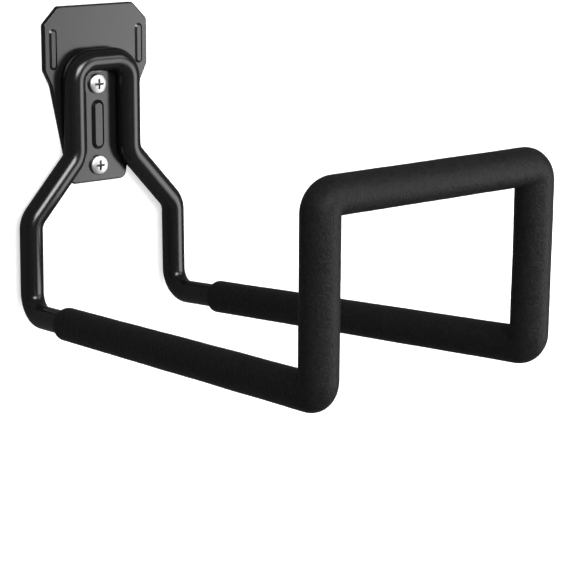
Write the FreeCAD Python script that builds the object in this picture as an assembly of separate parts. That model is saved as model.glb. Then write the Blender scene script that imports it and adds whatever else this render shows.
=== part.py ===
"""Wall hose hanger: a bent tube welded to a stamped wall plate, with a foam sleeve.

Millimetres, +Z up. The origin lies on the wall, midway between the two screw
holes. The wall is the plane y = 0, the hanger reaches out towards -Y and the
screws go into the wall towards +Y.
"""
import FreeCAD, Part
import math
import os

from FreeCAD import Vector

# Tube
TUBE_OD = 14.0
TUBE_WALL = 1.2
TUBE_JOINT_GAP = 0.6           # butt joint of the loop, hidden in the sleeve

# Path of the tube's centre line, given at the corners before bending
LEG_SPACING = 38.5             # two legs on the plate
REAR_SPACING = 102.6           # two drops, where they start
FOOT_SPACING = 103.8           # two drops, at their foot
FRONT_SPACING = 138.4          # two uprights at the front
ARCH_HEIGHT = 40.1             # top run of the inverted U
SPLAY_TOP = -17.2              # legs turn outwards here
SPLAY_BOTTOM = -53.3           # and turn down again here
REAR_FOOT = -110.6             # corner where the drops turn forward
ARM_REACH = 295.0              # from the drops to the front uprights
ARM_RISE = 27.9                # arms climb towards the front
UPRIGHT_HEIGHT = 94.1          # front corners, bottom to top

# Bend radii on the centre line
ARCH_BEND = 12.0
SPLAY_BEND = 13.5
FOOT_BEND = 13.0
FRONT_BEND = 8.0               # tighter than the sleeve, which creases inside these corners

# Flat pressed into the back of the tube where it is welded to the plate
SEAT_DEPTH = 1.8
SEAT_BELOW = 3.0               # flat that goes on above the plate's lower edge, before it runs out
SEAT_RUNOUT = 13.0

# Foam sleeve
FOAM_WALL = 2.6
FOAM_FIT = 0.2                 # clearance between the tube and the sleeve
FOAM_START = 45.0              # from the rear foot corner, along the arm
FOAM_END_ROUND = 1.0

# Wall plate
PLATE_THICKNESS = 3.2
PLATE_EDGE_ROUND = 1.0
PLATE_TOP = 73.1
PLATE_BOTTOM = -35.3
PLATE_TOP_WIDTH = 52.8         # between the top chamfers
PLATE_WIDTH = 73.2
PLATE_CHAMFER_END = 62.7       # height where the top chamfers meet the sides
PLATE_SHOULDER = 35.2          # height where the sides turn in
PLATE_NECK = 25.8              # height where the taper starts
PLATE_NECK_WIDTH = 64.0
PLATE_FOOT_WIDTH = 39.2
PLATE_CORNER = 3.0
PLATE_NECK_BEND = 14.0
PLATE_FOOT_CORNER = 4.5

# Ribs pressed out of the plate: a raised front and a pocket behind
RIB_CREST_ROUND = 0.4
RIB_SHEET = 1.2                # wall left beside the pressed pocket
CENTRE_RIB_HEIGHT = 1.5
CENTRE_RIB_WIDTH = 9.0
CENTRE_RIB_FLANK = 2.0         # width lost on each side from base to top
CENTRE_RIB_MARGIN = 3.6        # flat left between the centre rib and the screw heads
SIDE_RIB_HEIGHT = 0.6
SIDE_RIB_WIDTH = 5.4
SIDE_RIB_FLANK = 1.4
SIDE_RIB_LENGTH = 24.6
SIDE_RIB_INSET = 6.2           # from the plate's side to the middle of a side rib
SIDE_RIB_DROP = 1.2            # side ribs sit this far below the middle of the sides

# Mounting screws
SCREW_SPACING = 50.0
SCREW_DIAMETER = 5.6           # mean of the thread
SCREW_NECK = 5.0               # plain part of the shank, inside the plate
SCREW_LENGTH = 40.0            # under the head
SCREW_POINT = 6.0
SCREW_HOLE_CLEARANCE = 1.2
HEAD_DIAMETER = 12.2
HEAD_HEIGHT = 2.8
HEAD_CROWN = 1.0               # height of the domed part of the head
HEAD_EDGE_ROUND = 0.7
RECESS_SPAN = 6.6              # across the cross recess
RECESS_SLOT = 1.5
RECESS_DEPTH = 2.0
RECESS_FLOOR = 0.55            # span at the bottom, as a share of the top

# Derived places
PLATE_FRONT = -PLATE_THICKNESS
TUBE_RADIUS = TUBE_OD / 2
TUBE_AXIS_Y = PLATE_FRONT + SEAT_DEPTH - TUBE_RADIUS
FOAM_BORE = TUBE_RADIUS + FOAM_FIT
FOAM_RADIUS = FOAM_BORE + FOAM_WALL
FRONT_Y = TUBE_AXIS_Y - ARM_REACH
FRONT_FOOT = REAR_FOOT + ARM_RISE
FRONT_TOP = FRONT_FOOT + UPRIGHT_HEIGHT


def side_corners(side):
    """Corners of one half of the tube, from the arch to the front crossbar."""
    leg = side * LEG_SPACING / 2
    rear = side * REAR_SPACING / 2
    foot = side * FOOT_SPACING / 2
    front = side * FRONT_SPACING / 2
    return [
        (Vector(leg, TUBE_AXIS_Y, ARCH_HEIGHT), ARCH_BEND),
        (Vector(leg, TUBE_AXIS_Y, SPLAY_TOP), SPLAY_BEND),
        (Vector(rear, TUBE_AXIS_Y, SPLAY_BOTTOM), SPLAY_BEND),
        (Vector(foot, TUBE_AXIS_Y, REAR_FOOT), FOOT_BEND),
        (Vector(front, FRONT_Y, FRONT_FOOT), FRONT_BEND),
        (Vector(front, FRONT_Y, FRONT_TOP), FRONT_BEND),
    ]


def bend_points(here, corner, radius, beyond):
    """Start, middle and end of the tangent arc that rounds a corner."""
    inward = (here - corner).normalize()
    outward = (beyond - corner).normalize()
    half_turn = inward.getAngle(outward) / 2
    setback = radius / math.tan(half_turn)
    to_middle = radius / math.sin(half_turn) - radius
    middle = corner + (inward + outward).normalize() * to_middle
    return corner + inward * setback, middle, corner + outward * setback


def bent_path(start, corners, end):
    """Wire of straight runs joined by tangent arcs, through rounded corners."""
    edges = []
    here = start
    points = [corner for corner, _ in corners] + [end]
    for (corner, radius), beyond in zip(corners, points[1:]):
        arc_start, arc_middle, arc_end = bend_points(here, corner, radius, beyond)
        edges.append(Part.LineSegment(here, arc_start).toShape())
        edges.append(Part.Arc(arc_start, arc_middle, arc_end).toShape())
        here = arc_end
    edges.append(Part.LineSegment(here, end).toShape())
    return Part.Wire(edges)


def sweep(path, radius):
    """Round bar along a path."""
    first = path.Edges[0]
    start = first.valueAt(first.FirstParameter)
    heading = first.tangentAt(first.FirstParameter)
    section = Part.Wire(Part.makeCircle(radius, start, heading))
    return path.makePipeShell([section], True, False)


def loop_corners():
    """Corners of the whole tube, from the middle of the crossbar round to it again."""
    left = side_corners(-1)
    right = side_corners(1)
    return left[::-1] + right


def seat_block(inset):
    """Space behind the flat on the tube's back, or behind the wall left on that flat."""
    flat_y = PLATE_FRONT - inset
    back_y = flat_y + 2 * SEAT_DEPTH
    top = ARCH_HEIGHT + TUBE_OD
    low = PLATE_BOTTOM + SEAT_BELOW
    width = REAR_SPACING + 2 * TUBE_OD
    profile = [(flat_y, top), (flat_y, low), (back_y, low - 2 * SEAT_RUNOUT), (back_y, top)]
    ring = [Vector(-width / 2, y, z) for y, z in profile]
    return Part.Face(Part.makePolygon(ring + ring[:1])).extrude(Vector(width, 0, 0))


def build_tube():
    """One tube bent into a closed loop, flat where it meets the plate, its ends butted in the crossbar."""
    half_gap = TUBE_JOINT_GAP / 2
    start = Vector(-half_gap, FRONT_Y, FRONT_TOP)
    end = Vector(half_gap, FRONT_Y, FRONT_TOP)
    path = bent_path(start, loop_corners(), end)
    outside = sweep(path, TUBE_RADIUS).cut(seat_block(0))
    bore = sweep(path, TUBE_RADIUS - TUBE_WALL).cut(seat_block(TUBE_WALL))
    return outside.cut(bore)


def arm_start(side):
    """Point on an arm's centre line where the sleeve ends."""
    corners = [corner for corner, _ in side_corners(side)]
    foot, front = corners[3], corners[4]
    return foot + (front - foot).normalize() * FOAM_START


def creased_elbow(start, middle, end, radius):
    """Round bar through a bend tighter than itself, cut off at the axis of the bend."""
    arc = Part.Arc(start, middle, end).toShape()
    centre, axis = arc.Curve.Center, arc.Curve.Axis
    outward = (start - centre).normalize()
    half_height = math.sqrt(radius ** 2 - arc.Curve.Radius ** 2)
    low = centre - axis * half_height
    high = centre + axis * half_height
    rim = Part.Arc(low, start + outward * radius, high).toShape()
    section = Part.Face(Part.Wire([rim, Part.LineSegment(high, low).toShape()]))
    return section.revolve(centre, axis, math.degrees(arc.LastParameter - arc.FirstParameter))


def creased_bar(start, corners, end, radius):
    """Round bar whose tight corners are round outside and creased inside."""
    pieces = []
    here = start
    points = [corner for corner, _ in corners] + [end]
    for (corner, bend), beyond in zip(corners, points[1:]):
        arc_start, arc_middle, arc_end = bend_points(here, corner, bend, beyond)
        run = arc_start - here
        pieces.append(Part.makeCylinder(radius, run.Length, here, run))
        pieces.append(creased_elbow(arc_start, arc_middle, arc_end, radius))
        here = arc_end
    run = end - here
    pieces.append(Part.makeCylinder(radius, run.Length, here, run))
    return pieces[0].multiFuse(pieces[1:]).removeSplitter()


def build_foam():
    """Continuous foam sleeve over both arms, the uprights and the crossbar."""
    corners = side_corners(-1)[4:] + side_corners(1)[:3:-1]
    start, end = arm_start(-1), arm_start(1)
    bore = sweep(bent_path(start, corners, end), FOAM_BORE)
    sleeve = creased_bar(start, corners, end, FOAM_RADIUS).cut(bore)
    outer_rims = [
        edge for edge in sleeve.Edges
        if not edge.Degenerated
        and edge.Curve.TypeId == "Part::GeomCircle"
        and edge.isClosed()
        and abs(edge.Curve.Radius - FOAM_RADIUS) < FOAM_FIT
        and min(edge.Curve.Center.distanceToPoint(arm_start(side)) for side in (-1, 1)) < FOAM_FIT
    ]
    return sleeve.makeFillet(FOAM_END_ROUND, outer_rims)


def rounded_outline(corners, y):
    """Closed wire in the XZ plane at y; each corner is (x, z, radius)."""
    count = len(corners)
    points = [Vector(x, y, z) for x, z, _ in corners]
    middle = (points[-1] + points[0]) * 0.5
    listed = [(points[i], corners[i][2]) for i in range(count)]
    return bent_path(middle, listed, middle)


def plate_outline(y):
    """Outline of the wall plate: chamfered top, shoulders and a tapered foot."""
    right = [
        (PLATE_TOP_WIDTH / 2, PLATE_TOP, PLATE_CORNER),
        (PLATE_WIDTH / 2, PLATE_CHAMFER_END, PLATE_CORNER),
        (PLATE_WIDTH / 2, PLATE_SHOULDER, PLATE_CORNER),
        (PLATE_NECK_WIDTH / 2, PLATE_NECK, PLATE_NECK_BEND),
        (PLATE_FOOT_WIDTH / 2, PLATE_BOTTOM, PLATE_FOOT_CORNER),
    ]
    left = [(-x, z, radius) for x, z, radius in reversed(right)]
    return rounded_outline(right + left, y)


def slot_wire(x, z, width, length, y):
    """Upright obround outline in the XZ plane at y."""
    radius = width / 2
    run = length / 2 - radius
    right_low = Vector(x + radius, y, z - run)
    right_high = Vector(x + radius, y, z + run)
    left_high = Vector(x - radius, y, z + run)
    left_low = Vector(x - radius, y, z - run)
    return Part.Wire([
        Part.LineSegment(right_low, right_high).toShape(),
        Part.Arc(right_high, Vector(x, y, z + run + radius), left_high).toShape(),
        Part.LineSegment(left_high, left_low).toShape(),
        Part.Arc(left_low, Vector(x, y, z - run - radius), right_low).toShape(),
    ])


def tapered_slot(x, z, base, length, flank, y_base, y_top):
    """Obround boss between two planes, narrower by the flank on each side at its top."""
    low = slot_wire(x, z, base, length, y_base)
    high = slot_wire(x, z, base - 2 * flank, length - 2 * flank, y_top)
    return Part.makeLoft([low, high], True, True)


def rib_places():
    """Middle, width, length, height and flank of each pressed rib."""
    centre_length = SCREW_SPACING - HEAD_DIAMETER - 2 * CENTRE_RIB_MARGIN
    side_x = PLATE_WIDTH / 2 - SIDE_RIB_INSET
    side_z = (PLATE_CHAMFER_END + PLATE_SHOULDER) / 2 - SIDE_RIB_DROP
    return [
        (0, 0, CENTRE_RIB_WIDTH, centre_length, CENTRE_RIB_HEIGHT, CENTRE_RIB_FLANK),
        (-side_x, side_z, SIDE_RIB_WIDTH, SIDE_RIB_LENGTH, SIDE_RIB_HEIGHT, SIDE_RIB_FLANK),
        (side_x, side_z, SIDE_RIB_WIDTH, SIDE_RIB_LENGTH, SIDE_RIB_HEIGHT, SIDE_RIB_FLANK),
    ]


def build_plate():
    """Stamped plate with two screw holes and three pressed ribs."""
    blank = Part.Face(plate_outline(0)).extrude(Vector(0, PLATE_FRONT, 0))
    rims = [
        edge for edge in blank.Edges
        if abs(edge.BoundBox.YMin - PLATE_FRONT) < 1e-6 and edge.BoundBox.YLength < 1e-6
    ]
    plate = blank.makeFillet(PLATE_EDGE_ROUND, rims)
    for x, z, width, length, height, flank in rib_places():
        crest = PLATE_FRONT - height
        boss = tapered_slot(x, z, width, length, flank, PLATE_FRONT, crest)
        top_edges = [edge for edge in boss.Edges if edge.BoundBox.YMax < crest + 1e-6]
        plate = plate.fuse(boss.makeFillet(RIB_CREST_ROUND, top_edges))
        pocket = tapered_slot(
            x, z, width - 2 * RIB_SHEET, length - 2 * RIB_SHEET, flank / 2, 0, -height)
        plate = plate.cut(pocket)
    for z in (-SCREW_SPACING / 2, SCREW_SPACING / 2):
        hole_radius = (SCREW_DIAMETER + SCREW_HOLE_CLEARANCE) / 2
        hole = Part.makeCylinder(hole_radius, PLATE_THICKNESS, Vector(0, PLATE_FRONT, z), Vector(0, 1, 0))
        plate = plate.cut(hole)
    return plate.removeSplitter()


def cross_recess(face_y, z):
    """Cross-shaped driver recess, narrowing towards its floor."""
    floor_y = face_y + RECESS_DEPTH
    arms = []
    for x, dz in ((RECESS_SPAN / 2, RECESS_SLOT / 2), (RECESS_SLOT / 2, RECESS_SPAN / 2)):
        floor_x = RECESS_FLOOR * x
        floor_dz = RECESS_FLOOR * dz
        arms.append(Part.makeWedge(
            -x, face_y, z - dz, z - floor_dz, -floor_x, x, floor_y, z + dz, z + floor_dz, floor_x))
    return arms[0].fuse(arms[1])


def build_screw(z):
    """Pan-head screw: a domed head on the plate, a neck and a plain pointed shank."""
    face = PLATE_FRONT - HEAD_HEIGHT
    shoulder = face + HEAD_CROWN
    tip = PLATE_FRONT + SCREW_LENGTH
    head_radius = HEAD_DIAMETER / 2
    shank_radius = SCREW_DIAMETER / 2
    dome_radius = (head_radius ** 2 + HEAD_CROWN ** 2) / (2 * HEAD_CROWN)
    half_angle = math.asin(head_radius / dome_radius) / 2
    on_dome = Vector(dome_radius * math.sin(half_angle), face + dome_radius * (1 - math.cos(half_angle)), z)
    crown_top = Vector(0, face, z)
    crown_rim = Vector(head_radius, shoulder, z)
    dome = Part.Arc(crown_top, on_dome, crown_rim).toShape()
    straight = Part.makePolygon([
        crown_rim,
        Vector(head_radius, PLATE_FRONT, z),
        Vector(SCREW_NECK / 2, PLATE_FRONT, z),
        Vector(SCREW_NECK / 2, 0, z),
        Vector(shank_radius, 0, z),
        Vector(shank_radius, tip - SCREW_POINT, z),
        Vector(0, tip, z),
        crown_top,
    ])
    half_section = Part.Face(Part.Wire([dome] + straight.Edges))
    screw = half_section.revolve(Vector(0, 0, z), Vector(0, 1, 0), 360)
    rim = [
        edge for edge in screw.Edges
        if not edge.Degenerated
        and edge.Curve.TypeId == "Part::GeomCircle"
        and abs(edge.Curve.Radius - head_radius) < 1e-6
        and abs(edge.Curve.Center.y - shoulder) < 1e-6
    ]
    return screw.makeFillet(HEAD_EDGE_ROUND, rim).cut(cross_recess(face, z))


def build_screws():
    """The two mounting screws."""
    heights = (-SCREW_SPACING / 2, SCREW_SPACING / 2)
    return Part.makeCompound([build_screw(z) for z in heights])


NODES = {
    "wall_plate": build_plate,
    "bent_tube": build_tube,
    "foam_sleeve": build_foam,
    "mounting_screws": build_screws,
}

os.makedirs("parts", exist_ok=True)
for name, build in NODES.items():
    shape = build()
    if not shape.isValid():
        raise ValueError("invalid solid: " + name)
    shape.exportStep("parts/" + name + ".step")
    print(name, len(shape.Solids), "solids", round(shape.Volume, 1), "mm3")
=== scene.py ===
import math

import bmesh
import bpy
from bpy.props import FloatProperty, FloatVectorProperty, IntProperty, PointerProperty
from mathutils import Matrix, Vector, noise


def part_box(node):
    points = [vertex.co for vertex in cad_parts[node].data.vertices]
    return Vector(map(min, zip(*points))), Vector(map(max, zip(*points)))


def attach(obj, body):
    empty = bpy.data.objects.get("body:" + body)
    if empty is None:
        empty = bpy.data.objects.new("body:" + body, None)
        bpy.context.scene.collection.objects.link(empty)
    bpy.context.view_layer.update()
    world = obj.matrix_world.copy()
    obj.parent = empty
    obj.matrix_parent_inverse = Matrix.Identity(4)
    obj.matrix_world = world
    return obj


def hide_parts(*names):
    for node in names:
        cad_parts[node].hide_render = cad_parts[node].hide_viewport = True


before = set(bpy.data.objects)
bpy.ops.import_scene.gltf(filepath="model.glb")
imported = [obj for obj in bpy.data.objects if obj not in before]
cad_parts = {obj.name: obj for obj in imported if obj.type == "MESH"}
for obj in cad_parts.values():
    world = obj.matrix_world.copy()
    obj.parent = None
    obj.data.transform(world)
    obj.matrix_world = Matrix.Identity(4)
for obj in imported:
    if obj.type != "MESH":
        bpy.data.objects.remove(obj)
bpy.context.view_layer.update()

bl_info = {
    "name": "Wall hose hanger",
    "version": (1, 0, 0),
    "blender": (4, 5, 0),
    "location": "View3D > Sidebar > Hanger",
    "description": "Dresses the wall hose hanger: painted tube and plate, foam sleeve, screws and studio",
    "category": "Object",
}

MM = 0.001

# Boxes of the frame and sizes that follow from them
TUBE_LOW, TUBE_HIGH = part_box("bent_tube")
FOAM_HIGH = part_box("foam_sleeve")[1]
SCREWS_LOW, SCREWS_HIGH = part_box("mounting_screws")
SEAT_DEPTH = 1.8 * MM               # flat pressed into the tube where it lies on the plate
PLATE_FACE = TUBE_HIGH.y - SEAT_DEPTH
TUBE_DIAMETER = 14 * MM
FOAM_DIAMETER = TUBE_DIAMETER + 2 * (FOAM_HIGH.x - TUBE_HIGH.x)

REAR_CORNER = 3                     # place of an arm's rear corner among the corners of its side

# Fineness of the meshes
JOIN_DISTANCE = 0.004 * MM          # points of a mesh closer than this become one
BOX_TOLERANCE = 0.3 * MM            # how far the tube may leave its node's box
TUBE_SIDES = 64
BEND_STEPS = 24
FOAM_SIDES = 72
FOAM_STEP = 1.15 * MM               # between the stations along the sleeve
FOAM_BEND_STEPS = 8                 # fewest stations on a bend
FOAM_ROUNDING = [math.radians(angle) for angle in (0, 18, 36, 54, 72, 90)]
FOAM_SHARP = math.radians(60)       # edges that turn by more than this stay sharp
SCREW_SIDES = 64
SCREW_SHARP = math.radians(35)
CROWN_STEPS = 12
RIM_STEPS = 7
THREAD_STEPS = 16                   # rings on one pitch

# Foam shape
BORE_CHAMFER = 0.2 * MM
BORE_MARGIN = 3                     # stations left out at each end of the bore
CREASE_REACH = 3                    # how far from a corner the sleeve can crease, in sleeve radii
SWELLS_PER_METRE = 32.0
DIMPLES_PER_METRE = 210.0
DIMPLE_SHIFT = Vector((7.1, 3.3, 1.9))

# Screw shape
RIM_BREAK = 0.15 * MM               # broken edge under the head
NECK_FLARE = 0.3 * MM
POINT_GAP = 0.1 * MM                # from the last ring to the point
POINT_TAPER = 0.04                  # least radius near the point, as a share of the root
BLUNT_TAPER = 0.05                  # the ridge fades once the taper is below this
BLUNT_RIDGE = 0.2
RIDGE_HALF = 0.24                   # half width of the ridge, as a share of the pitch
POINT_RIDGE = 0.35                  # height of the ridge at the point, as a share of the full one
RECESS_TAPER = 0.45                 # width that the recess loses down to its floor
RECESS_OVERSHOOT = 0.6 * MM         # the cutter starts this far above the crown
RECESS_REACH = 0.6                  # points within this share of the span can lie in the recess
RECESS_FLOOR = 1.01                 # and within this share of its depth

# Finishes: widths, then the spread of each effect, then (strength, depth) of each bump
SPECK_EDGES = (0.08, 0.3)
PAINT_IOR = 1.5
PAINT_GRAIN = 0.5 * MM
PAINT_CLOUDS = (0.9, 1.1)
PAINT_SPECKS = (0.0, 0.35)
PAINT_ROUGHNESS_SPREAD = 0.05
PAINT_RIPPLE_GLOSS = (-0.02, 0.02)
PAINT_BUMPS = {"Ripple": (0.25, 0.05 * MM), "Grain": (0.12, 0.02 * MM)}
FOAM_RIPPLE = 3.4 * MM
FOAM_GRAIN = 1.1 * MM
FOAM_PITS = 2.4 * MM
STREAKS_PER_METRE = (120.0, 900.0, 1.0)     # around the sleeve and along it
FOAM_MOTTLE = (0.3, 1.7)
FOAM_CLOUDS = (0.72, 1.28)
FOAM_STREAKS = (0.8, 1.2)
FOAM_ROUGHNESS = (0.28, 0.56)
FOAM_SHEEN = 0.1
FOAM_BUMPS = {
    "Ripple": (0.5, 0.3 * MM),
    "Grain": (0.9, 0.5 * MM),
    "Pits": (0.5, -0.25 * MM),
    "Streaks": (0.25, 0.2 * MM),
}
ZINC_RIPPLE = 1.6 * MM
ZINC_GRAIN = 0.35 * MM
ZINC_CLOUDS = (0.9, 1.08)
ZINC_SPECKS = (1.0, 0.86)
# painted shade: the zinc colour falls to this share at the floor of the cross recess
ZINC_RECESS_PAINTED_SHADE = (1.0, 0.12)
ZINC_ROUGHNESS = (0.3, 0.46)
ZINC_BUMPS = {"Ripple": (0.12, 0.03 * MM), "Grain": (0.15, 0.02 * MM)}

# Studio
WALL_Y = 0.6 * MM                   # just behind the plate's back
WALL_LEFT, WALL_RIGHT, WALL_TOP = -2.2, 3.2, 1.8
WALL_GLOW = 0.62
WALL_CLEARANCE = 3 * MM             # reflections that meet the wall within this length go through it
FLOOR_REACH = 8.0
FLOOR_GLOW = 0.8
BACKDROP_COLOUR = (0.8, 0.8, 0.8)
LIGHT_COLOUR = (1.0, 1.0, 1.0, 1.0)
LAMP_TARGET = Vector((0.0, -0.12, -0.02))
SENSOR_WIDTH = 36.0                 # of the camera, in millimetres
CLIP_START = 10 * MM
SOFTBOX_DISTANCE = 1.5
SOFTBOX_GAP = 1 * MM
SOFTBOX_STEPS = (1.0, 0.78, 0.55)   # sizes of the nested lamps, as shares of the softbox
# Name, setting, azimuth and elevation in degrees, width, height, and whether reflections show it
SOFTBOXES = [
    ("front_softbox", "key_radiance", 47, -11, 1.25, 1.2, True),
    ("top_softbox", "top_radiance", -8, 21, 0.98, 0.68, True),
    ("side_softbox", "side_radiance", 39, 24, 0.9, 0.45, True),
    ("back_softbox", "back_radiance", 157, -12, 1.9, 1.3, True),
    ("left_softbox", "left_radiance", -80, 62, 1.0, 0.6, False),
]


# Sizes and colours

class TubeSettings(bpy.types.PropertyGroup):
    diameter: FloatProperty(
        name="Diameter", description="Outside diameter of the tube", default=TUBE_DIAMETER, unit="LENGTH")
    leg_spacing: FloatProperty(
        name="Leg spacing", description="Between the two legs on the plate", default=38.5 * MM,
        unit="LENGTH")
    rear_spacing: FloatProperty(
        name="Rear spacing", description="Between the two drops, where they start", default=102.6 * MM,
        unit="LENGTH")
    foot_spacing: FloatProperty(
        name="Foot spacing", description="Between the two drops, at their foot", default=103.8 * MM,
        unit="LENGTH")
    front_spacing: FloatProperty(
        name="Front spacing", description="Between the two uprights",
        default=TUBE_HIGH.x - TUBE_LOW.x - TUBE_DIAMETER, unit="LENGTH")
    arch_height: FloatProperty(
        name="Arch height", description="Height of the arch's top run",
        default=TUBE_HIGH.z - TUBE_DIAMETER / 2, unit="LENGTH")
    splay_top: FloatProperty(
        name="Splay top", description="Height where the legs turn out", default=-17.2 * MM, unit="LENGTH")
    splay_bottom: FloatProperty(
        name="Splay bottom", description="Height where they turn down again", default=-53.3 * MM,
        unit="LENGTH")
    rear_foot: FloatProperty(
        name="Rear foot", description="Height of the corner at the back of an arm", default=-110.6 * MM,
        unit="LENGTH")
    front_foot: FloatProperty(
        name="Front foot", description="Height of the corner at the front of an arm", default=-82.7 * MM,
        unit="LENGTH")
    front_top: FloatProperty(
        name="Front top", description="Height of the crossbar",
        default=FOAM_HIGH.z - FOAM_DIAMETER / 2, unit="LENGTH")
    arch_bend: FloatProperty(
        name="Arch bend", description="Bend radius at the arch", default=12 * MM, unit="LENGTH")
    splay_bend: FloatProperty(
        name="Splay bend", description="Bend radius at the splay", default=13.5 * MM, unit="LENGTH")
    foot_bend: FloatProperty(
        name="Foot bend", description="Bend radius at the back of an arm", default=13 * MM, unit="LENGTH")
    front_bend: FloatProperty(
        name="Front bend", description="Bend radius at the front corners", default=8 * MM, unit="LENGTH")
    seat_low: FloatProperty(
        name="Seat low", description="Height where the flat on the tube's back ends", default=-32.3 * MM,
        unit="LENGTH")
    seat_runout: FloatProperty(
        name="Seat runout", description="Length over which the flat runs out", default=13 * MM,
        unit="LENGTH")


class FoamSettings(bpy.types.PropertyGroup):
    diameter: FloatProperty(
        name="Diameter", description="Outside diameter of the sleeve", default=FOAM_DIAMETER, unit="LENGTH")
    bore: FloatProperty(
        name="Bore", description="Inside diameter of the sleeve", default=14.4 * MM, unit="LENGTH")
    start: FloatProperty(
        name="Start", description="From the rear corner to the sleeve's end", default=45 * MM,
        unit="LENGTH")
    end_round: FloatProperty(
        name="End round", description="Rounding of the cut ends", default=1 * MM, unit="LENGTH")
    swell: FloatProperty(
        name="Swell", description="Slow unevenness of the surface", default=0.16 * MM, unit="LENGTH")
    dimple: FloatProperty(
        name="Dimple", description="Small unevenness of the surface", default=0.05 * MM, unit="LENGTH")
    colour: FloatVectorProperty(
        name="Colour", description="Foam colour", default=(0.0138, 0.0138, 0.0141), size=3, subtype="COLOR")


class PaintSettings(bpy.types.PropertyGroup):
    colour: FloatVectorProperty(
        name="Colour", description="Colour of the paint", default=(0.009, 0.009, 0.0094), size=3,
        subtype="COLOR")
    roughness: FloatProperty(
        name="Roughness", description="Middle roughness of the paint", default=0.2, subtype="FACTOR")
    ripple: FloatProperty(
        name="Ripple", description="Width of the paint's ripples", default=3.2 * MM, unit="LENGTH")


class ScrewSettings(bpy.types.PropertyGroup):
    spacing: FloatProperty(
        name="Spacing", description="From screw to screw", default=50 * MM, unit="LENGTH")
    count: IntProperty(name="Count", description="Number of screws", default=2, min=1)
    head: FloatProperty(
        name="Head", description="Diameter of the pan head", default=SCREWS_HIGH.x - SCREWS_LOW.x,
        unit="LENGTH")
    crown: FloatProperty(
        name="Crown", description="Height of the domed part of the head", default=1 * MM, unit="LENGTH")
    edge_round: FloatProperty(
        name="Edge round", description="Rounding of the head's rim", default=0.7 * MM, unit="LENGTH")
    neck: FloatProperty(
        name="Neck", description="Diameter of the plain neck", default=5 * MM, unit="LENGTH")
    root: FloatProperty(
        name="Root", description="Thread diameter at the root", default=4.9 * MM, unit="LENGTH")
    crest: FloatProperty(
        name="Crest", description="Thread diameter at the crest", default=6.3 * MM, unit="LENGTH")
    pitch: FloatProperty(
        name="Pitch", description="Pitch of the thread", default=2.4 * MM, unit="LENGTH")
    point: FloatProperty(
        name="Point", description="Length of the tapered point", default=7 * MM, unit="LENGTH")
    recess_span: FloatProperty(
        name="Recess span", description="Across the cross recess", default=6.6 * MM, unit="LENGTH")
    recess_slot: FloatProperty(
        name="Recess slot", description="Width of the recess arms", default=1.5 * MM, unit="LENGTH")
    recess_depth: FloatProperty(
        name="Recess depth", description="Depth of the recess", default=2 * MM, unit="LENGTH")
    colour: FloatVectorProperty(
        name="Colour", description="Zinc colour", default=(0.6, 0.6, 0.595), size=3, subtype="COLOR")


class StageSettings(bpy.types.PropertyGroup):
    azimuth: FloatProperty(
        name="Camera azimuth", description="Camera direction around the object",
        default=math.radians(-36.462), subtype="ANGLE")
    elevation: FloatProperty(
        name="Camera elevation", description="Camera direction above the level",
        default=math.radians(12.574), subtype="ANGLE")
    distance: FloatProperty(
        name="Camera distance", description="From the camera to its aim", default=1.104, unit="LENGTH")
    aim: FloatVectorProperty(
        name="Camera aim", description="Point on the optical axis",
        default=(58.39 * MM, -65.05 * MM, -65.84 * MM), size=3, subtype="XYZ", unit="LENGTH")
    focal_pixels: FloatProperty(
        name="Focal length", description="Focal length in pixels of the square image", default=1809.5)
    image_size: IntProperty(name="Image size", description="Side of the square image", default=576)
    axis_pixel: FloatProperty(
        name="Axis pixel", description="Where the optical axis meets the image, from its top left",
        default=235.0)
    key_radiance: FloatProperty(
        name="Key light", description="Brightness of the front right softbox", default=4.5)
    top_radiance: FloatProperty(
        name="Top light", description="Brightness of the overhead softbox", default=15.0)
    side_radiance: FloatProperty(
        name="Side light", description="Brightness of the upper right softbox", default=3.8)
    back_radiance: FloatProperty(
        name="Back light", description="Brightness of the rear softbox", default=2.4)
    left_radiance: FloatProperty(
        name="Left light", description="Brightness of the upper left softbox, which isn't mirrored",
        default=5.0)
    fill: FloatProperty(name="Fill", description="Brightness of the room", default=0.06)
    mirror_share: FloatProperty(
        name="Mirror share", description="Share of the white backdrop that reflections see", default=0.08,
        subtype="FACTOR")
    floor_height: FloatProperty(
        name="Floor height", description="Height of the floor below the hanger", default=-0.95,
        unit="LENGTH")


# Meshes

def new_piece(name, mesh):
    """Object at the origin with this mesh, linked into the scene."""
    piece = bpy.data.objects.new(name, mesh)
    bpy.context.scene.collection.objects.link(piece)
    return piece


def close_shell(mesh):
    """Join the points that meet and turn the faces outwards."""
    shell = bmesh.new()
    shell.from_mesh(mesh)
    bmesh.ops.remove_doubles(shell, verts=shell.verts, dist=JOIN_DISTANCE)
    bmesh.ops.recalc_face_normals(shell, faces=shell.faces)
    shell.to_mesh(mesh)
    shell.free()


def mesh_from(name, points, faces):
    """Closed mesh from points and faces."""
    mesh = bpy.data.meshes.new(name)
    mesh.from_pydata(points, [], faces)
    close_shell(mesh)
    return mesh


def rectangle(left, low, right, high):
    """Corners of a rectangle, from the lowest left round to the highest left."""
    return [(left, low), (right, low), (right, high), (left, high)]


def corner_of(piece, pick):
    """Lowest or highest corner of a piece's mesh."""
    return [pick(vertex.co[axis] for vertex in piece.data.vertices) for axis in range(3)]


def evaluated_mesh(piece):
    """Plain mesh of a piece with its modifiers applied."""
    graph = bpy.context.evaluated_depsgraph_get()
    return bpy.data.meshes.new_from_object(
        piece.evaluated_get(graph), preserve_all_data_layers=True, depsgraph=graph)


def apply_modifiers(piece):
    """Replace a piece's mesh by its evaluated mesh and drop the modifiers."""
    before = piece.data
    mesh = evaluated_mesh(piece)
    piece.modifiers.clear()
    piece.data = mesh
    mesh.name = piece.name
    bpy.data.meshes.remove(before)
    if not len(mesh.polygons):
        raise RuntimeError("no faces were made for " + piece.name)
    return piece


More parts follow.
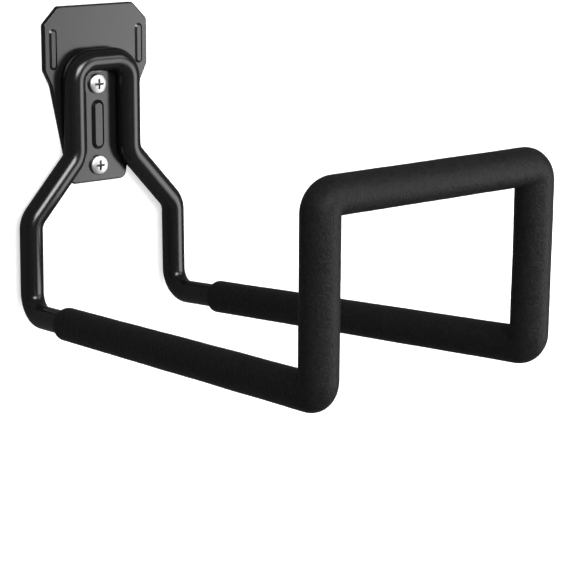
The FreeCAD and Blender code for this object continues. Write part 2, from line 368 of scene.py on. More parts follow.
def run_tree(piece, tree, values):
    """Run a geometry node tree on a piece and keep its result as a plain mesh."""
    modifier = piece.modifiers.new(tree.name, "NODES")
    modifier.node_group = tree
    sockets = {
        item.name: item.identifier for item in tree.interface.items_tree
        if item.item_type == "SOCKET" and item.in_out == "INPUT"
    }
    for name, value in values.items():
        modifier[sockets[name]] = value
    return apply_modifiers(piece)


def dress(piece, node):
    """Let a finished piece stand for a node of the frame."""
    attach(piece, "root")
    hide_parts(node)
    return piece


# Node tools

def add_node(tree, kind, **inputs):
    """Node of a kind with the sockets named here set or linked."""
    node = tree.nodes.new(kind)
    for name, value in inputs.items():
        wire(tree, value, node.inputs[name.replace("_", " ")])
    return node


def wire(tree, value, socket):
    """Link a socket, or set its default when a plain value is given."""
    if isinstance(value, bpy.types.NodeSocket):
        tree.links.new(value, socket)
    else:
        socket.default_value = value


def new_tree(name, inputs):
    """Geometry node tree with a geometry in and out and the named inputs."""
    tree = bpy.data.node_groups.new(name, "GeometryNodeTree")
    tree.interface.new_socket("Geometry", in_out="INPUT", socket_type="NodeSocketGeometry")
    for label, kind in inputs:
        tree.interface.new_socket(label, in_out="INPUT", socket_type="NodeSocket" + kind)
    tree.interface.new_socket("Geometry", in_out="OUTPUT", socket_type="NodeSocketGeometry")
    return tree, tree.nodes.new("NodeGroupInput"), tree.nodes.new("NodeGroupOutput")


def close_tree(tree, geometry, material, end):
    """Finish a tree: real geometry with its material."""
    real = add_node(tree, "GeometryNodeRealizeInstances", Geometry=geometry)
    painted = add_node(
        tree, "GeometryNodeSetMaterial", Geometry=real.outputs["Geometry"], Material=material)
    tree.links.new(painted.outputs["Geometry"], end.inputs["Geometry"])


def shader_group(name, inputs, outputs):
    """Shader node group with named float inputs and outputs."""
    tree = bpy.data.node_groups.new(name, "ShaderNodeTree")
    for label, default in inputs:
        tree.interface.new_socket(
            label, in_out="INPUT", socket_type="NodeSocketFloat").default_value = default
    for label in outputs:
        tree.interface.new_socket(label, in_out="OUTPUT", socket_type="NodeSocketFloat")
    return tree, tree.nodes.new("NodeGroupInput"), tree.nodes.new("NodeGroupOutput")


def maths(tree, operation, first, second):
    """Output of a Math node."""
    node = tree.nodes.new("ShaderNodeMath")
    node.operation = operation
    for value, socket in zip((first, second), node.inputs):
        wire(tree, value, socket)
    return node.outputs[0]


def grain_group():
    """Unevenness shared by the finishes: slow ripples, fine grain and small specks."""
    name = "surface grain"
    if name in bpy.data.node_groups:
        return bpy.data.node_groups[name]
    tree, begin, end = shader_group(
        name, [("Ripple Width", 3 * MM), ("Grain Width", 0.6 * MM)], ["Ripple", "Grain", "Specks"])
    where = tree.nodes.new("ShaderNodeTexCoord").outputs["Object"]
    ripple_scale = maths(tree, "DIVIDE", 1.0, begin.outputs["Ripple Width"])
    grain_scale = maths(tree, "DIVIDE", 1.0, begin.outputs["Grain Width"])
    ripple = add_node(
        tree, "ShaderNodeTexNoise", Vector=where, Scale=ripple_scale, Detail=1.5, Roughness=0.45)
    grain = add_node(
        tree, "ShaderNodeTexNoise", Vector=where, Scale=grain_scale, Detail=2.5, Roughness=0.6)
    cells = add_node(tree, "ShaderNodeTexVoronoi", Vector=where, Scale=grain_scale, Randomness=1.0)
    specks = ramp(tree, cells.outputs["Distance"], 1.0, 0.0, SPECK_EDGES)
    tree.links.new(ripple.outputs["Fac"], end.inputs["Ripple"])
    tree.links.new(grain.outputs["Fac"], end.inputs["Grain"])
    tree.links.new(specks, end.inputs["Specks"])
    return tree


def grain_node(tree, **widths):
    """Grain group in a material's tree, with the widths given here."""
    group = tree.nodes.new("ShaderNodeGroup")
    group.node_tree = grain_group()
    for name, width in widths.items():
        group.inputs[name.replace("_", " ")].default_value = width
    return group


def start_material(name, ripple, grain):
    """Material with a Principled shader, the grain group and an output."""
    material = bpy.data.materials.new(name)
    material.use_nodes = True
    tree = material.node_tree
    tree.nodes.clear()
    surface = tree.nodes.new("ShaderNodeBsdfPrincipled")
    out = tree.nodes.new("ShaderNodeOutputMaterial")
    tree.links.new(surface.outputs["BSDF"], out.inputs["Surface"])
    return material, tree, surface, grain_node(tree, Ripple_Width=ripple, Grain_Width=grain)


def ramp(tree, value, low, high, source=(0.0, 1.0)):
    """Value from the source range spread between two numbers."""
    node = tree.nodes.new("ShaderNodeMapRange")
    wire(tree, value, node.inputs["Value"])
    for label, edge in zip(("From Min", "From Max", "To Min", "To Max"), (*source, low, high)):
        node.inputs[label].default_value = edge
    return node.outputs["Result"]


def tinted(tree, colour, shade):
    """Colour made lighter and darker by a shade around 1."""
    node = tree.nodes.new("ShaderNodeVectorMath")
    node.operation = "SCALE"
    node.inputs[0].default_value = tuple(colour)
    wire(tree, shade, node.inputs["Scale"])
    return node.outputs[0]


def bump(tree, surface, layers, heights):
    """Chain of Bump nodes: each named layer has a strength and a depth, and its height in heights."""
    normal = None
    for name, (strength, depth) in layers.items():
        node = add_node(tree, "ShaderNodeBump", Height=heights[name], Strength=strength, Distance=depth)
        if normal is not None:
            tree.links.new(normal, node.inputs["Normal"])
        normal = node.outputs["Normal"]
    tree.links.new(normal, surface.inputs["Normal"])


# Finishes

def paint_finish(settings):
    """Black gloss powder paint: soft ripples and a fine grain under a smooth skin."""
    name = "black_gloss_paint"
    # The plate and the tube share it
    if name in bpy.data.materials and bpy.data.materials[name].use_fake_user:
        return bpy.data.materials[name]
    material, tree, surface, group = start_material(name, settings.ripple, PAINT_GRAIN)
    material.use_fake_user = True
    shade = maths(
        tree, "ADD", ramp(tree, group.outputs["Ripple"], *PAINT_CLOUDS),
        ramp(tree, group.outputs["Specks"], *PAINT_SPECKS))
    tree.links.new(tinted(tree, settings.colour, shade), surface.inputs["Base Color"])
    smoothest = settings.roughness - PAINT_ROUGHNESS_SPREAD
    roughest = settings.roughness + PAINT_ROUGHNESS_SPREAD
    gloss = maths(
        tree, "ADD", ramp(tree, group.outputs["Grain"], smoothest, roughest),
        ramp(tree, group.outputs["Ripple"], *PAINT_RIPPLE_GLOSS))
    tree.links.new(gloss, surface.inputs["Roughness"])
    surface.inputs["IOR"].default_value = PAINT_IOR
    bump(tree, surface, PAINT_BUMPS, group.outputs)
    return material


def foam_finish(settings):
    """Matte closed-cell foam: tiny cells, small pits, cloudy skin and faint streaks around the sleeve."""
    material, tree, surface, group = start_material("black_foam", FOAM_RIPPLE, FOAM_GRAIN)
    pits = grain_node(tree, Grain_Width=FOAM_PITS)
    around = tree.nodes.new("ShaderNodeUVMap")
    around.uv_map = "sleeve"
    stretch = tree.nodes.new("ShaderNodeMapping")
    wire(tree, around.outputs["UV"], stretch.inputs["Vector"])
    stretch.inputs["Scale"].default_value = STREAKS_PER_METRE
    streaks = add_node(
        tree, "ShaderNodeTexNoise", Vector=stretch.outputs["Vector"], Scale=1.0, Detail=2.0, Roughness=0.55)
    mottle = maths(
        tree, "MULTIPLY", ramp(tree, group.outputs["Grain"], *FOAM_MOTTLE),
        ramp(tree, group.outputs["Ripple"], *FOAM_CLOUDS))
    shade = maths(tree, "MULTIPLY", mottle, ramp(tree, streaks.outputs["Fac"], *FOAM_STREAKS))
    tree.links.new(tinted(tree, settings.colour, shade), surface.inputs["Base Color"])
    tree.links.new(ramp(tree, group.outputs["Grain"], *FOAM_ROUGHNESS), surface.inputs["Roughness"])
    surface.inputs["Specular IOR Level"].default_value = FOAM_SHEEN
    bump(tree, surface, FOAM_BUMPS, {
        "Ripple": group.outputs["Ripple"], "Grain": group.outputs["Grain"],
        "Pits": pits.outputs["Specks"], "Streaks": streaks.outputs["Fac"]})
    return material


def zinc_finish(settings):
    """Bright zinc plating with a soft cloudy sheen, and painted shade that darkens the cross recess towards
    its floor.
    """
    material, tree, surface, group = start_material("zinc_plated_steel", ZINC_RIPPLE, ZINC_GRAIN)
    surface.inputs["Metallic"].default_value = 1.0
    shade = maths(
        tree, "MULTIPLY", ramp(tree, group.outputs["Ripple"], *ZINC_CLOUDS),
        ramp(tree, group.outputs["Specks"], *ZINC_SPECKS))
    # painted shade: the colour darkens with the depth in the cross recess
    inside = tree.nodes.new("ShaderNodeAttribute")
    inside.attribute_name = "recess"
    shade = maths(tree, "MULTIPLY", shade, ramp(tree, inside.outputs["Fac"], *ZINC_RECESS_PAINTED_SHADE))
    tree.links.new(tinted(tree, settings.colour, shade), surface.inputs["Base Color"])
    tree.links.new(ramp(tree, group.outputs["Grain"], *ZINC_ROUGHNESS), surface.inputs["Roughness"])
    bump(tree, surface, ZINC_BUMPS, group.outputs)
    return material


# Path of the tube

def side_corners(tube, side):
    """Corners of one half of the tube with their bend radii, from the arch to the crossbar."""
    leg = side * tube.leg_spacing / 2
    rear = side * tube.rear_spacing / 2
    foot = side * tube.foot_spacing / 2
    front = side * tube.front_spacing / 2
    back_y = TUBE_HIGH.y - tube.diameter / 2
    front_y = TUBE_LOW.y + tube.diameter / 2
    return [
        (Vector((leg, back_y, tube.arch_height)), tube.arch_bend),
        (Vector((leg, back_y, tube.splay_top)), tube.splay_bend),
        (Vector((rear, back_y, tube.splay_bottom)), tube.splay_bend),
        (Vector((foot, back_y, tube.rear_foot)), tube.foot_bend),
        (Vector((front, front_y, tube.front_foot)), tube.front_bend),
        (Vector((front, front_y, tube.front_top)), tube.front_bend),
    ]


def tube_tree():
    """Sweep a round section along a polygon with bent corners, and press the flat into its back."""
    tree, begin, end = new_tree("bent tube", [
        ("Diameter", "Float"), ("Bend Steps", "Int"), ("Sides", "Int"), ("Flat", "Float"),
        ("Flat Low", "Float"), ("Runout Slope", "Float"), ("Finish", "Material")])
    path = add_node(tree, "GeometryNodeMeshToCurve", Mesh=begin.outputs["Geometry"])
    radius = add_node(tree, "GeometryNodeInputNamedAttribute", Name="bend_radius")
    radius.data_type = "FLOAT"
    bent = tree.nodes.new("GeometryNodeFilletCurve")
    bent.mode = "POLY"
    tree.links.new(path.outputs["Curve"], bent.inputs["Curve"])
    tree.links.new(begin.outputs["Bend Steps"], bent.inputs["Count"])
    tree.links.new(radius.outputs["Attribute"], bent.inputs["Radius"])
    section = tree.nodes.new("GeometryNodeCurvePrimitiveCircle")
    tree.links.new(begin.outputs["Sides"], section.inputs["Resolution"])
    tree.links.new(maths(tree, "MULTIPLY", begin.outputs["Diameter"], 0.5), section.inputs["Radius"])
    swept = add_node(
        tree, "GeometryNodeCurveToMesh", Curve=bent.outputs["Curve"],
        Profile_Curve=section.outputs["Curve"])
    position = tree.nodes.new("GeometryNodeInputPosition")
    place = add_node(tree, "ShaderNodeSeparateXYZ", Vector=position.outputs["Position"])
    below = maths(tree, "SUBTRACT", begin.outputs["Flat Low"], place.outputs["Z"])
    away = maths(tree, "MULTIPLY", maths(tree, "MAXIMUM", below, 0.0), begin.outputs["Runout Slope"])
    limit = maths(tree, "ADD", begin.outputs["Flat"], away)
    pressed_y = maths(tree, "MINIMUM", place.outputs["Y"], limit)
    pressed_place = add_node(
        tree, "ShaderNodeCombineXYZ", X=place.outputs["X"], Y=pressed_y, Z=place.outputs["Z"])
    pressed = add_node(
        tree, "GeometryNodeSetPosition", Geometry=swept.outputs["Mesh"],
        Position=pressed_place.outputs["Vector"])
    smooth = add_node(tree, "GeometryNodeSetShadeSmooth", Geometry=pressed.outputs["Geometry"])
    close_tree(tree, smooth.outputs["Geometry"], begin.outputs["Finish"], end)
    return tree


# Foam

class Bend:
    """Round corner of the sleeve's path, with the place where the two runs crease inside it."""

    def __init__(self, before, corner, beyond, radius):
        self.corner = corner
        self.radius = radius
        self.heading = (corner - before).normalized()
        self.leaving = (beyond - corner).normalized()
        self.turn = self.heading.angle(self.leaving)
        self.inside = (self.leaving - self.heading).normalized()
        self.normal = self.heading.cross(self.leaving).normalized()
        self.middle = (self.heading + self.leaving).normalized()
        self.setback = radius * math.tan(self.turn / 2)

    def arc(self, share):
        """Place and heading on the arc, from 0 at its start to 1 at its end."""
        inward = self.normal.cross(self.heading)
        centre = self.corner - self.heading * self.setback + inward * self.radius
        angle = self.turn * share
        out = self.heading * math.sin(angle) - inward * math.cos(angle)
        return centre + out * self.radius, self.heading * math.cos(angle) + inward * math.sin(angle)

    def creased(self, place, centre, heading, spoke):
        """Place of a surface point, held at the crease if it would pass to the other run."""
        inward = (self.inside - heading * self.inside.dot(heading)).normalized()
        depth = spoke.dot(inward)
        if depth <= self.radius or (centre - self.corner).length > CREASE_REACH * spoke.length:
            return place
        if (centre - self.corner).dot(self.middle) * (place - self.corner).dot(self.middle) > 0:
            return place
        along = depth / math.cos(self.turn / 2)
        return self.corner + self.inside * along + self.normal * spoke.dot(self.normal)


def straight_run(start, end, step):
    """Stations on a straight run, without its last point."""
    heading = (end - start).normalized()
    steps = max(2, int((end - start).length / step))
    return [(start.lerp(end, i / steps), heading) for i in range(steps)]


def stations(start, bends, end, step):
    """Places and headings along a path with round corners."""
    found = []
    here = start
    for bend in bends:
        found += straight_run(here, bend.corner - bend.heading * bend.setback, step)
        outside = bend.turn * (bend.radius + FOAM_DIAMETER / 2)
        steps = max(FOAM_BEND_STEPS, int(outside / step))
        found += [bend.arc(i / steps) for i in range(steps)]
        here = bend.corner + bend.leaving * bend.setback
    found += straight_run(here, end, step)
    return found + [(end, found[-1][1])]


def carried_frames(found):
    """Sideways and upward directions carried along the stations without twist."""
    frames = []
    side = None
    for _, heading in found:
        if side is None:
            side = heading.orthogonal().normalized()
        side = (side - heading * side.dot(heading)).normalized()
        frames.append((side, heading.cross(side).normalized()))
    return frames


def foam_radius(foam, spot):
    """Outer radius of the sleeve near a spot: slow swells and small dimples."""
    slow = noise.noise(spot * SWELLS_PER_METRE)
    small = noise.noise(spot * DIMPLES_PER_METRE + DIMPLE_SHIFT)
    return foam.diameter / 2 + foam.swell * slow + foam.dimple * small


def build_foam_mesh(foam, start, bends, end):
    """Closed mesh of the sleeve: its outside, both cut ends and the bore."""
    sides = FOAM_SIDES
    outer = stations(start, bends, end, FOAM_STEP)
    frames = carried_frames(outer)
    lengths = [0.0]
    for before, after in zip(outer, outer[1:]):
        lengths.append(lengths[-1] + (after[0] - before[0]).length)
    turns = [2 * math.pi * i / sides for i in range(sides)]
    directions = [(math.cos(turn), math.sin(turn)) for turn in turns]
    rings = []

    def add_ring(index, inset, shift, bore=False):
        centre, heading = outer[index]
        side, up = frames[index]
        ring = []
        for across, rise in directions:
            out = side * across + up * rise
            spoke = out * foam.diameter / 2
            if bore:
                place = centre + heading * shift + out * (foam.bore / 2 + inset)
            else:
                radius = foam_radius(foam, centre + spoke) - inset
                place = centre + heading * shift + out * radius
                for bend in bends:
                    place = bend.creased(place, centre, heading, spoke)
            ring.append(place)
        rings.append((ring, lengths[index] + shift))

    last = len(outer) - 1
    for angle in reversed(FOAM_ROUNDING):
        add_ring(0, foam.end_round * (1 - math.cos(angle)), foam.end_round * (1 - math.sin(angle)))
    for index in range(1, last):
        add_ring(index, 0.0, 0.0)
    for angle in FOAM_ROUNDING:
        add_ring(last, foam.end_round * (1 - math.cos(angle)), -foam.end_round * (1 - math.sin(angle)))
    add_ring(last, BORE_CHAMFER, 0.0, True)
    add_ring(last, 0.0, -BORE_CHAMFER, True)
    for index in range(last - BORE_MARGIN, BORE_MARGIN, -2):
        add_ring(index, 0.0, 0.0, True)
    add_ring(0, 0.0, BORE_CHAMFER, True)
    add_ring(0, BORE_CHAMFER, 0.0, True)

    points = [point for ring, _ in rings for point in ring]
    faces = []
    spots = []
    for r in range(len(rings)):
        after = (r + 1) % len(rings)
        for i in range(sides):
            j = (i + 1) % sides
            faces.append((r * sides + i, r * sides + j, after * sides + j, after * sides + i))
            low, high = rings[r][1], rings[after][1]
            left, right = (share / sides * math.pi * foam.diameter for share in (i, i + 1))
            spots.append(rectangle(left, low, right, high))
    mesh = bpy.data.meshes.new("foam_sleeve_skin")
    mesh.from_pydata([tuple(point) for point in points], [], faces)
    layer = mesh.uv_layers.new(name="sleeve")
    layer.data.foreach_set("uv", [value for face in spots for spot in face for value in spot])
    close_shell(mesh)
    mesh.shade_smooth()
    mesh.set_sharp_from_angle(angle=FOAM_SHARP)
    return mesh


# Screws

def lathe(name, profile, sides, radius_at):
    """Closed mesh turned about the Y axis from (radius, y) pairs that start and end on it.

    The radius of each point is what radius_at makes of its radius, y and angle.
    """
    points = [(0.0, profile[0][1], 0.0)]
    for radius, y in profile[1:-1]:
        for i in range(sides):
            angle = 2 * math.pi * i / sides
            spread = radius_at(radius, y, angle)
            points.append((spread * math.cos(angle), y, spread * math.sin(angle)))
    points.append((0.0, profile[-1][1], 0.0))
    last = len(points) - 1
    rings = len(profile) - 2
    faces = []
    for i in range(sides):
        j = (i + 1) % sides
        faces.append((0, 1 + j, 1 + i))
        for r in range(rings - 1):
            low, high = 1 + r * sides, 1 + (r + 1) * sides
            faces.append((low + i, low + j, high + j, high + i))
        final = 1 + (rings - 1) * sides
        faces.append((last, final + i, final + j))
    return mesh_from(name, points, faces)


def dome_radius(screw):
    """Radius of the ball that the crown of the head is part of."""
    return ((screw.head / 2) ** 2 + screw.crown ** 2) / (2 * screw.crown)


def crown_at(screw, radius):
    """Y of the crown at a distance from the screw's axis."""
    dome = dome_radius(screw)
    return SCREWS_LOW.y + dome - math.sqrt(dome ** 2 - radius ** 2)


def screw_profile(screw):
    """Half section of one screw from the crown of its head to the point."""
    tip = SCREWS_HIGH.y
    head = screw.head / 2
    inner = head - screw.edge_round
    profile = [(0.0, SCREWS_LOW.y)]
    for i in range(1, CROWN_STEPS + 1):
        radius = inner * i / CROWN_STEPS
        profile.append((radius, crown_at(screw, radius)))
    start = profile[-1][1]
    slope = math.asin(inner / dome_radius(screw))
    for i in range(1, RIM_STEPS + 1):
        angle = slope + (math.pi / 2 - slope) * i / RIM_STEPS
        profile.append((
            inner + screw.edge_round * (math.sin(angle) - math.sin(slope)) / (1 - math.sin(slope)),
            start + screw.edge_round * (math.cos(slope) - math.cos(angle))))
    profile.append((head, PLATE_FACE - RIM_BREAK))
    profile.append((head - RIM_BREAK, PLATE_FACE))
    profile.append((screw.neck / 2 + NECK_FLARE, PLATE_FACE))
    profile.append((screw.neck / 2, PLATE_FACE + NECK_FLARE))
    y = 0.0
    while y < tip - POINT_GAP:
        profile.append((screw.root / 2, y))
        y += screw.pitch / THREAD_STEPS
    profile.append((0.0, tip))
    return profile


def build_screw_mesh(screw):
    """One threaded screw at the origin's height, with its cross recess cut."""
    tip = SCREWS_HIGH.y

    def threaded(radius, y, angle):
        if y < 0:
            return radius
        taper = min(1.0, max(POINT_TAPER, (tip - y) / screw.point))
        fade = min(1.0, y / screw.pitch)
        phase = (y / screw.pitch - angle / (2 * math.pi)) % 1.0
        ridge = max(0.0, 1 - abs(phase - 0.5) / RIDGE_HALF)
        height = (screw.crest - screw.root) / 2 * fade * (POINT_RIDGE + (1 - POINT_RIDGE) * taper)
        return radius * taper + height * ridge * (1.0 if taper > BLUNT_TAPER else BLUNT_RIDGE)

    blank = new_piece("screw_blank", lathe("screw_blank", screw_profile(screw), SCREW_SIDES, threaded))
    cutters = []
    face = SCREWS_LOW.y
    for turn in (0, 1):
        points = []
        for depth in (-RECESS_OVERSHOOT, screw.recess_depth):
            share = 1 - RECESS_TAPER * depth / screw.recess_depth
            span = share * screw.recess_span / 2
            slot = share * screw.recess_slot / 2
            if turn:
                span, slot = slot, span
            points += [(x, face + depth, z) for x, z in rectangle(-span, -slot, span, slot)]
        faces = [(0, 1, 2, 3), (4, 5, 6, 7)]
        faces += [(i, (i + 1) % 4, 4 + (i + 1) % 4, 4 + i) for i in range(4)]
        cutter = new_piece("recess_cutter", mesh_from("recess_cutter", points, faces))
        cutters.append(cutter)
        cut = blank.modifiers.new("recess", "BOOLEAN")
        cut.operation = "DIFFERENCE"
        cut.solver = "EXACT"
        cut.object = cutter
    apply_modifiers(blank)
    for cutter in cutters:
        bpy.data.objects.remove(cutter)
    close_shell(blank.data)
    blank.data.shade_smooth()
    blank.data.set_sharp_from_angle(angle=SCREW_SHARP)
    mark_recess_shade(screw, blank.data)
    return blank


def mark_recess_shade(screw, mesh):
    """Store how deep each point lies in the cross recess, from 0 at the crown to 1 at its floor; the zinc
    finish darkens its colour by this as painted shade.
    """
    reach = RECESS_REACH * screw.recess_span
    floor = SCREWS_LOW.y + RECESS_FLOOR * screw.recess_depth
    depths = []
    for vertex in mesh.vertices:
        radius = math.hypot(vertex.co.x, vertex.co.z)
        depth = 0.0
        if radius < reach and vertex.co.y < floor:
            depth = min(1.0, max(0.0, (vertex.co.y - crown_at(screw, radius)) / screw.recess_depth))
        depths.append(depth)
    mesh.attributes.new("recess", "FLOAT", "POINT").data.foreach_set("value", depths)


def screw_row_tree():
    """Row of like screws, one above the other."""
    tree, begin, end = new_tree(
        "screw row", [("Spacing", "Float"), ("Count", "Int"), ("Finish", "Material")])
    span = maths(tree, "MULTIPLY", begin.outputs["Spacing"], -0.5)
    start = add_node(tree, "ShaderNodeCombineXYZ", Z=span)
    step = add_node(tree, "ShaderNodeCombineXYZ", Z=begin.outputs["Spacing"])
    places = tree.nodes.new("GeometryNodeMeshLine")
    tree.links.new(begin.outputs["Count"], places.inputs["Count"])
    tree.links.new(start.outputs["Vector"], places.inputs["Start Location"])
    tree.links.new(step.outputs["Vector"], places.inputs["Offset"])
    placed = add_node(
        tree, "GeometryNodeInstanceOnPoints", Points=places.outputs["Mesh"],
        Instance=begin.outputs["Geometry"])
    close_tree(tree, placed.outputs["Instances"], begin.outputs["Finish"], end)
    return tree


# Stage

def seen_share(tree, mirror_share, behind=1.0):
    """1 for camera rays and the mirror share for reflected and transmitted rays that go behind."""
    path = tree.nodes.new("ShaderNodeLightPath")
    mirrored = maths(tree, "MAXIMUM", path.outputs["Is Glossy Ray"], path.outputs["Is Transmission Ray"])
    dimmed = maths(tree, "MULTIPLY", mirrored, maths(tree, "MULTIPLY", mirror_share, behind))
    return maths(tree, "MAXIMUM", path.outputs["Is Camera Ray"], dimmed)


def backdrop_finish(name, glow, mirror_share, one_sided):
    """White surface that keeps soft shadows.

    A one-sided one can't be seen from behind, nor in what lies flat against it.
    """
    material = bpy.data.materials.new(name)
    material.use_nodes = True
    tree = material.node_tree
    tree.nodes.clear()
    seen = seen_share(tree, mirror_share)
    path = tree.nodes.new("ShaderNodeLightPath")
    lost = maths(tree, "MULTIPLY", path.outputs["Is Glossy Ray"], mirror_share - 1)
    matte = add_node(tree, "ShaderNodeBsdfDiffuse")
    tree.links.new(tinted(tree, BACKDROP_COLOUR, maths(tree, "ADD", lost, 1.0)), matte.inputs["Color"])
    light = add_node(tree, "ShaderNodeEmission", Color=LIGHT_COLOUR)
    tree.links.new(maths(tree, "MULTIPLY", seen, glow), light.inputs["Strength"])
    both = tree.nodes.new("ShaderNodeAddShader")
    tree.links.new(matte.outputs["BSDF"], both.inputs[0])
    tree.links.new(light.outputs["Emission"], both.inputs[1])
    shader = both.outputs["Shader"]
    if one_sided:
        clear = tree.nodes.new("ShaderNodeBsdfTransparent")
        choose = tree.nodes.new("ShaderNodeMixShader")
        behind = tree.nodes.new("ShaderNodeNewGeometry").outputs["Backfacing"]
        close = maths(tree, "LESS_THAN", path.outputs["Ray Length"], WALL_CLEARANCE)
        close = maths(tree, "MULTIPLY", close, path.outputs["Is Glossy Ray"])
        tree.links.new(maths(tree, "MAXIMUM", behind, close), choose.inputs["Fac"])
        tree.links.new(shader, choose.inputs[1])
        tree.links.new(clear.outputs["BSDF"], choose.inputs[2])
        shader = choose.outputs["Shader"]
    out = tree.nodes.new("ShaderNodeOutputMaterial")
    tree.links.new(shader, out.inputs["Surface"])
    return material


def direction(azimuth, elevation):
    """Unit vector towards an azimuth and an elevation, both in degrees."""
    a, e = math.radians(azimuth), math.radians(elevation)
    return Vector((math.sin(a) * math.cos(e), -math.cos(a) * math.cos(e), math.sin(e)))


def softbox(name, azimuth, elevation, width, height, radiance, mirrored):
    """Rectangular light facing the hanger, as nested lamps that fade towards its edges."""
    back = direction(azimuth, elevation)
    for step, share in enumerate(SOFTBOX_STEPS):
        lamp = bpy.data.lights.new(name, "AREA")
        lamp.shape = "RECTANGLE"
        lamp.size = width * share
        lamp.size_y = height * share
        lamp.energy = math.pi * lamp.size * lamp.size_y * radiance / len(SOFTBOX_STEPS)
        holder = bpy.data.objects.new(name, lamp)
        holder.location = LAMP_TARGET + back * (SOFTBOX_DISTANCE + step * SOFTBOX_GAP)
        holder.rotation_euler = back.to_track_quat("Z", "Y").to_euler()
        holder.visible_glossy = mirrored
        bpy.context.scene.collection.objects.link(holder)


def sheet(name, corners, material):
    """Flat backdrop from four corners."""
    mesh = bpy.data.meshes.new(name)
    mesh.from_pydata(corners, [], [(0, 1, 2, 3)])
    mesh.materials.append(material)
    return new_piece(name, mesh)


def light_room(stage):
    """World: white to the camera, faintly white behind the wall to reflections, dim elsewhere."""
    world = bpy.data.worlds.new("studio")
    bpy.context.scene.world = world
    world.use_nodes = True
    tree = world.node_tree
    tree.nodes.clear()
    where = tree.nodes.new("ShaderNodeTexCoord").outputs["Generated"]
    split = add_node(tree, "ShaderNodeSeparateXYZ", Vector=where)
    behind = maths(tree, "GREATER_THAN", split.outputs["Y"], 0.0)
    strength = maths(tree, "MAXIMUM", seen_share(tree, stage.mirror_share, behind), stage.fill)
    sky = add_node(tree, "ShaderNodeBackground", Color=LIGHT_COLOUR, Strength=strength)
    out = tree.nodes.new("ShaderNodeOutputWorld")
    tree.links.new(sky.outputs["Background"], out.inputs["Surface"])


# Operators

class HANGER_OT_plate(bpy.types.Operator):
    """Paint the stamped wall plate"""
    bl_idname = "hanger.plate"
    bl_label = "Wall plate"

    def execute(self, context):
        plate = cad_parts["wall_plate"]
        plate.data.materials.clear()
        plate.data.materials.append(paint_finish(context.scene.hanger_paint))
        return {"FINISHED"}


class HANGER_OT_tube(bpy.types.Operator):
    """Bend the painted tube"""
    bl_idname = "hanger.tube"
    bl_label = "Bent tube"

    def execute(self, context):
        tube = context.scene.hanger_tube
        corners = side_corners(tube, -1)[::-1] + side_corners(tube, 1)
        count = len(corners)
        mesh = bpy.data.meshes.new("tube_path")
        runs = [(i, (i + 1) % count) for i in range(count)]
        mesh.from_pydata([tuple(point) for point, _ in corners], runs, [])
        layer = mesh.attributes.new("bend_radius", "FLOAT", "POINT")
        layer.data.foreach_set("value", [radius for _, radius in corners])
        piece = new_piece("painted_tube", mesh)
        run_tree(piece, tube_tree(), {
            "Diameter": tube.diameter, "Bend Steps": BEND_STEPS, "Sides": TUBE_SIDES,
            "Flat": PLATE_FACE, "Flat Low": tube.seat_low,
            "Runout Slope": SEAT_DEPTH / tube.seat_runout,
            "Finish": paint_finish(context.scene.hanger_paint)})
        drift = max(
            abs(wanted - found)
            for corner, pick in ((TUBE_LOW, min), (TUBE_HIGH, max))
            for wanted, found in zip(corner, corner_of(piece, pick)))
        if drift > BOX_TOLERANCE:
            raise RuntimeError("the tube leaves its node by %.2f mm" % (drift / MM))
        dress(piece, "bent_tube")
        return {"FINISHED"}


class HANGER_OT_foam(bpy.types.Operator):
    """Pull the foam sleeve over the arms and the front"""
    bl_idname = "hanger.foam"
    bl_label = "Foam sleeve"

    def execute(self, context):
        foam = context.scene.hanger_foam
        tube = context.scene.hanger_tube
        ends = []
        corners = []
        # The path runs out along the left arm, over the crossbar and back along the right arm
        for side in (-1, 1):
            half = side_corners(tube, side)[REAR_CORNER:]
            rear, front = half[0][0], half[1][0]
            ends.append(rear + (front - rear).normalized() * foam.start)
            corners += half[1:] if side < 0 else half[:0:-1]
        places = [ends[0]] + [place for place, _ in corners] + [ends[1]]
        bends = [
            Bend(before, corner, beyond, radius)
            for before, (corner, radius), beyond in zip(places, corners, places[2:])
        ]
        mesh = build_foam_mesh(foam, ends[0], bends, ends[1])
        mesh.materials.append(foam_finish(foam))
        piece = new_piece("foam_grip", mesh)
        dress(piece, "foam_sleeve")
        return {"FINISHED"}


class HANGER_OT_screws(bpy.types.Operator):
    """Drive the mounting screws"""
    bl_idname = "hanger.screws"
    bl_label = "Mounting screws"

    def execute(self, context):
        screw = context.scene.hanger_screw
        piece = build_screw_mesh(screw)
        piece.name = "zinc_screws"
        run_tree(piece, screw_row_tree(), {
            "Spacing": screw.spacing, "Count": screw.count, "Finish": zinc_finish(screw)})
        dress(piece, "mounting_screws")
        return {"FINISHED"}


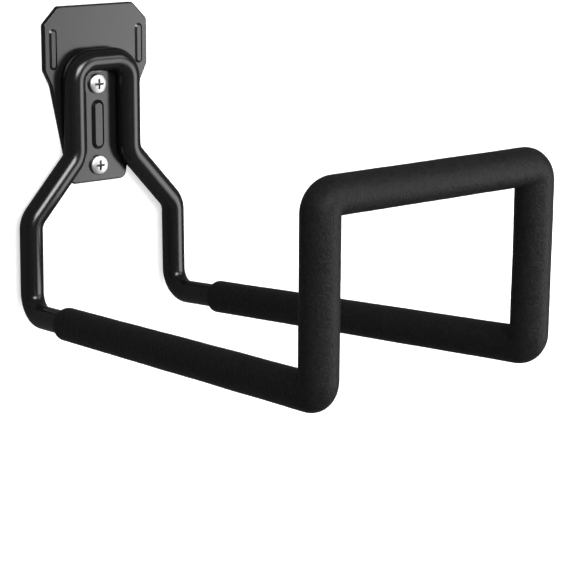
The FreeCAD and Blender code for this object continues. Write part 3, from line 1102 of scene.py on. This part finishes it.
class HANGER_OT_stage(bpy.types.Operator):
    """Set the wall, the floor, the lamps and the camera"""
    bl_idname = "hanger.stage"
    bl_label = "Studio"

    def execute(self, context):
        scene = context.scene
        stage = scene.hanger_stage
        ground = stage.floor_height
        wall = sheet(
            "studio_wall",
            [(x, WALL_Y, z) for x, z in rectangle(WALL_LEFT, ground, WALL_RIGHT, WALL_TOP)],
            backdrop_finish("studio_wall_white", WALL_GLOW, stage.mirror_share, True))
        wall.visible_diffuse = False
        wall.visible_shadow = False
        floor = sheet(
            "studio_floor",
            [(x, y, ground) for x, y in rectangle(-FLOOR_REACH, -FLOOR_REACH, FLOOR_REACH, FLOOR_REACH)],
            backdrop_finish("studio_floor_white", FLOOR_GLOW, stage.mirror_share, False))
        for name, setting, azimuth, elevation, width, height, mirrored in SOFTBOXES:
            softbox(name, azimuth, elevation, width, height, getattr(stage, setting), mirrored)
        light_room(stage)
        camera = bpy.data.cameras.new("photo_camera")
        camera.sensor_width = SENSOR_WIDTH
        camera.lens = stage.focal_pixels * SENSOR_WIDTH / stage.image_size
        camera.shift_x = (stage.image_size / 2 - stage.axis_pixel) / stage.image_size
        camera.shift_y = -(stage.image_size / 2 - stage.axis_pixel) / stage.image_size
        camera.clip_start = CLIP_START
        holder = bpy.data.objects.new("photo_camera", camera)
        back = direction(math.degrees(stage.azimuth), math.degrees(stage.elevation))
        holder.location = Vector(stage.aim) + back * stage.distance
        holder.rotation_euler = back.to_track_quat("Z", "Y").to_euler()
        scene.collection.objects.link(holder)
        scene.camera = holder
        scene.view_settings.view_transform = "Standard"
        return {"FINISHED"}


class HANGER_PT_panel(bpy.types.Panel):
    """Pieces of the wall hose hanger"""
    bl_label = "Wall hose hanger"
    bl_idname = "HANGER_PT_panel"
    bl_space_type = "VIEW_3D"
    bl_region_type = "UI"
    bl_category = "Hanger"

    def draw(self, context):
        for group, operator in PIECES:
            box = self.layout.box()
            box.operator(operator.bl_idname)
            settings = getattr(context.scene, group)
            for name in settings.__annotations__:
                box.prop(settings, name)


GROUPS = {
    "hanger_tube": TubeSettings,
    "hanger_foam": FoamSettings,
    "hanger_paint": PaintSettings,
    "hanger_screw": ScrewSettings,
    "hanger_stage": StageSettings,
}
PIECES = [
    ("hanger_paint", HANGER_OT_plate),
    ("hanger_tube", HANGER_OT_tube),
    ("hanger_foam", HANGER_OT_foam),
    ("hanger_screw", HANGER_OT_screws),
    ("hanger_stage", HANGER_OT_stage),
]
CLASSES = list(GROUPS.values()) + [operator for _, operator in PIECES] + [HANGER_PT_panel]


def register():
    for item in CLASSES:
        bpy.utils.register_class(item)
    for name, group in GROUPS.items():
        setattr(bpy.types.Scene, name, PointerProperty(type=group))


def unregister():
    for name in GROUPS:
        delattr(bpy.types.Scene, name)
    for item in reversed(CLASSES):
        bpy.utils.unregister_class(item)


def main():
    register()
    bpy.ops.hanger.plate()
    bpy.ops.hanger.tube()
    bpy.ops.hanger.foam()
    bpy.ops.hanger.screws()
    bpy.ops.hanger.stage()


if __name__ == "__main__":
    main()
